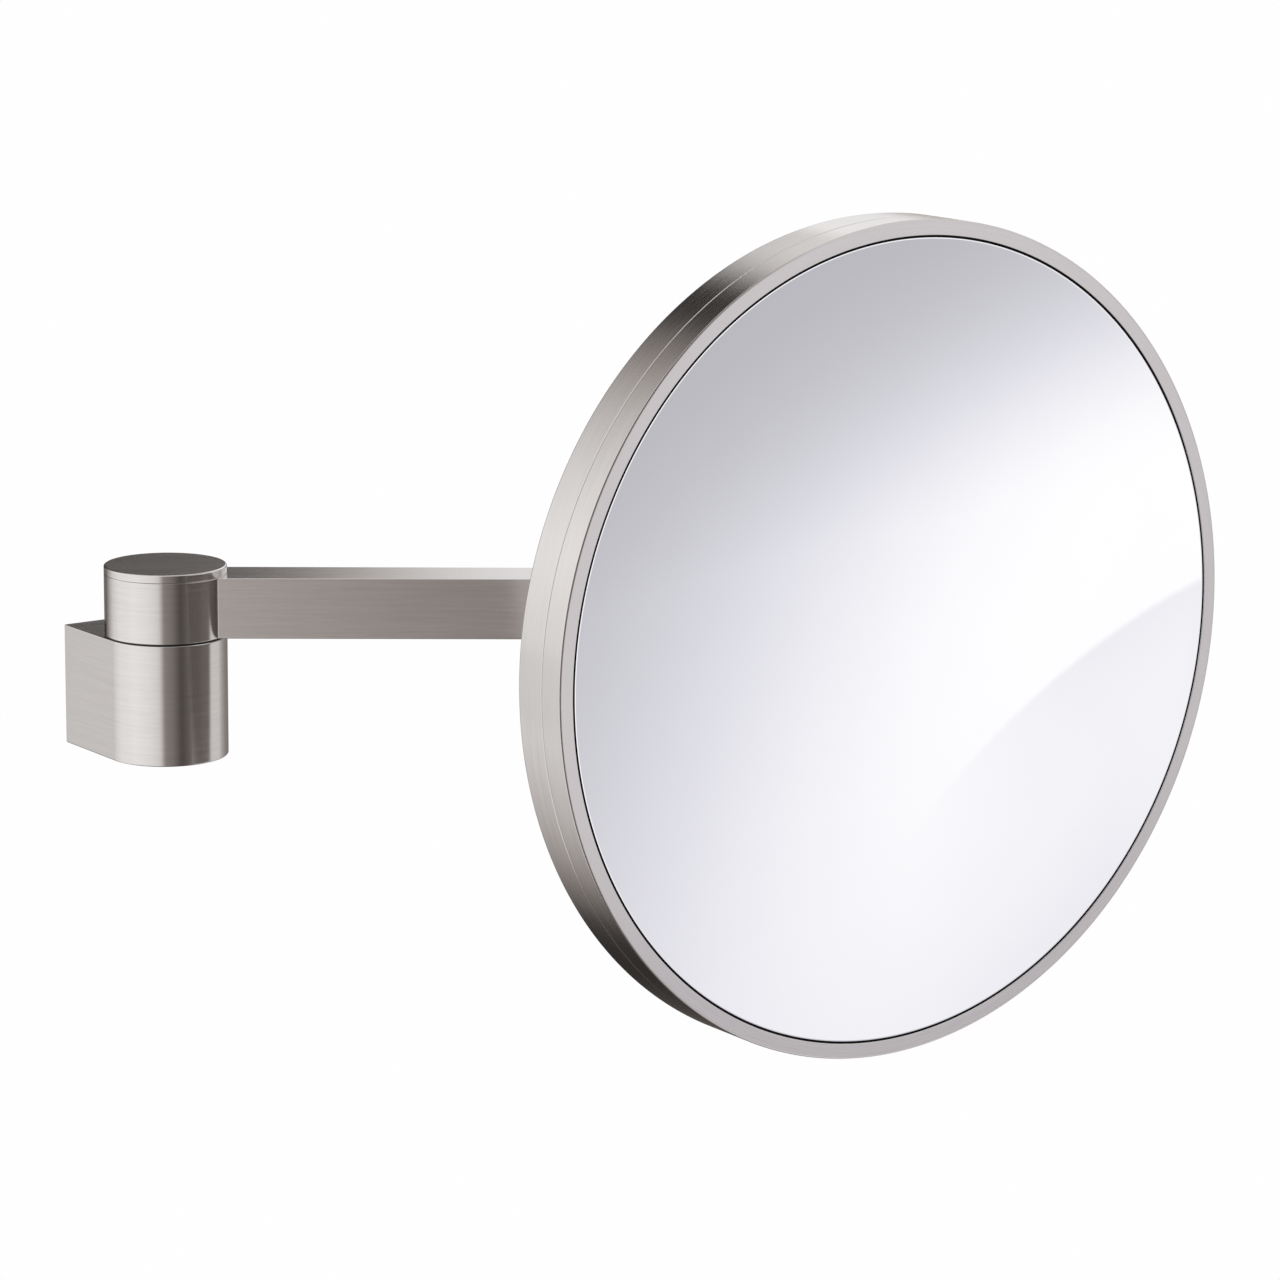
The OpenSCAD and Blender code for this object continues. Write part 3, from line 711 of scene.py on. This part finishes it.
# the part of the studio that the mirror shows: a soft light that falls off towards the upper left,
# and the curved edge of a slightly darker panel low on the right
x = t.math("MULTIPLY", t.math("MAXIMUM", t.math("SUBTRACT", az, 30.77), 0), 1 / 16.88)
de = t.math("ADD", el, 13.9)
y = t.math("ADD", t.math("MULTIPLY", t.math("MINIMUM", de, 0), 1 / 4.586), t.math("MULTIPLY", t.math("MAXIMUM", de, 0), 1 / 12.73))
q = t.math("SUBTRACT", t.math("ADD", t.math("MULTIPLY", x, x), t.math("MULTIPLY", y, y)), t.math("MULTIPLY", t.math("MULTIPLY", x, y), 1.204))
q = t.math("POWER", t.math("MAXIMUM", q, 0), 1.205)
glow = t.math("ADD", t.math("MULTIPLY", t.math("EXPONENT", t.math("MULTIPLY", q, -1)), 0.556), 0.514)
da = t.math("SUBTRACT", az, 28.8)
limit = t.math("SUBTRACT", t.math("ADD", t.math("MULTIPLY", da, 0.21), t.math("MULTIPLY", t.math("MULTIPLY", da, da), 0.0157)), 11.8)
over = t.math("SUBTRACT", el, limit)
panel = t.math("MULTIPLY", t.math("MULTIPLY", t.smooth(over, -0.1, 0.14), t.smooth(az, 38.8, 31.5)),
               t.math("EXPONENT", t.math("MULTIPLY", t.math("MAXIMUM", over, 0), -1 / 2.7)))
glow = t.math("MULTIPLY", glow, t.math("SUBTRACT", 1.0, t.math("MULTIPLY", panel, 0.135)))
inside = t.math("MULTIPLY", t.math("MULTIPLY", t.smooth(az, 25.5, 29), t.smooth(az, 62, 54)),
                t.math("MULTIPLY", t.smooth(el, -28, -22), t.smooth(el, 4, -2)))


def coloured(value, low, a, b, high=(1, 1, 1)):
    n = t.node("ShaderNodeVectorMath", operation="SCALE")
    t.link(t.tint(t.smooth(value, a, b), low, high), n.inputs[0])
    t.link(value, n.inputs["Scale"])
    return n.outputs[0]


both = t.node("ShaderNodeMix", data_type="VECTOR", clamp_factor=True)
t.link(inside, both.inputs[0])
t.link(coloured(v, (1.09, 0.985, 0.93), 0.1, 1.0), both.inputs[4])
t.link(coloured(glow, (0.985, 0.973, 1.045), 0.78, 1.08, (1.004, 0.988, 1.008)), both.inputs[5])
t.link(both.outputs[1], bg.inputs[0])
bg.inputs[1].default_value = 1.0

floor_mesh = prism([(3 * math.cos(2 * math.pi * k / 64), 3 * math.sin(2 * math.pi * k / 64)) for k in range(64)], -0.01, 0)
floor = new_object("studio_floor", floor_mesh)
floor.location = (0, 0, -1.3)
mat, ft, fb = material("pale_floor")
fn = ft.noise(ft.node("ShaderNodeTexCoord").outputs["Object"], scale=3, detail=2)
ft.link(ft.tint(fn, (0.93, 0.93, 0.93), (0.95, 0.95, 0.95)), fb.inputs["Base Color"])
fb.inputs["Roughness"].default_value = 0.9
ft.link(ft.tint(fn, (0.99, 0.99, 0.99), (1, 1, 1)), fb.inputs["Emission Color"])
fb.inputs["Emission Strength"].default_value = 0.35
floor.data.materials.append(mat)
floor.visible_glossy = False
floor.visible_diffuse = False
floor.visible_transmission = False
floor.visible_shadow = False

# ---------------------------------------------------------------- camera
a, e, roll = math.radians(-36.762), math.radians(12.107), math.radians(0.587)
back = Vector((math.sin(a) * math.cos(e), -math.cos(a) * math.cos(e), math.sin(e)))
right = Vector((math.cos(a), math.sin(a), 0))
up = back.cross(right)
right2 = right * math.cos(roll) + up * math.sin(roll)
up2 = up * math.cos(roll) - right * math.sin(roll)
cam = bpy.data.cameras.new("camera")
cam.lens = 123.547
cam.sensor_width = 36
cam.clip_start = 0.01
cam.clip_end = 20
camera = bpy.data.objects.new("camera", cam)
scene.collection.objects.link(camera)
m = Matrix.Identity(4)
for i, axis in enumerate((right2, up2, back)):
    m[0][i], m[1][i], m[2][i] = axis
m.translation = (-0.537662, -0.938004, 0.240791)
camera.matrix_world = m
scene.camera = camera
scene.view_settings.view_transform = "Standard"
